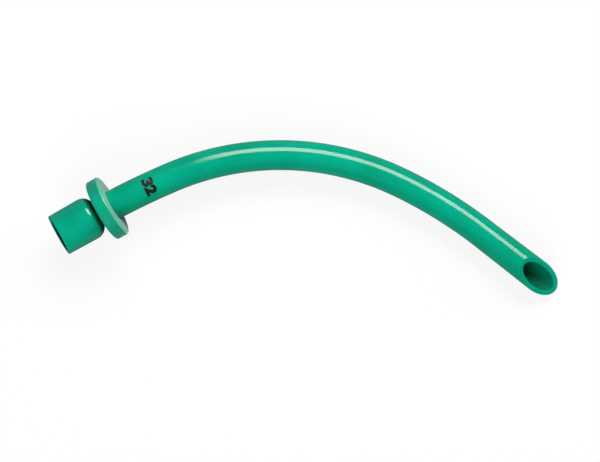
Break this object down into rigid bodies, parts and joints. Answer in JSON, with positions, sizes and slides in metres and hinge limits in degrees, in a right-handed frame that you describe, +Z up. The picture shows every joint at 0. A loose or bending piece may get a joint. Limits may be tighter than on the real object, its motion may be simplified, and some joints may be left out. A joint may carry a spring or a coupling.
{
  "type": "nasopharyngeal airway",
  "caption": "Curved soft nasal airway tube with a slanted open tip, a conical end connector and a separate round ring that slides along the tube.",
  "frame": {"origin": "middle of the base of the airway's box, on the floor it lies on", "axes": "+X along its length from the connector to the tip, +Y to the outside of the bend, +Z up off the floor"},
  "size_m": [0.1814, 0.0488, 0.0231],
  "materials": {
    "tube_vinyl": "soft moulded vinyl, glossy",
    "connector_vinyl": "firm moulded vinyl, glossy",
    "ring_vinyl": "soft moulded vinyl, satin"
  },
  "bodies": {
    "airway": {"airway_tube": "tube_vinyl", "end_connector": "connector_vinyl"},
    "ring": {"sliding_ring": "ring_vinyl"}
  },
  "joints": [
    {"name": "ring_slide", "type": "hinge", "parent": "airway", "child": "ring", "pos_m": [0.08481, -0.22727, 0.02818], "axis": [-0.0396, -0.103, -0.9939], "range_deg": [0, 4.9]}
  ]
}
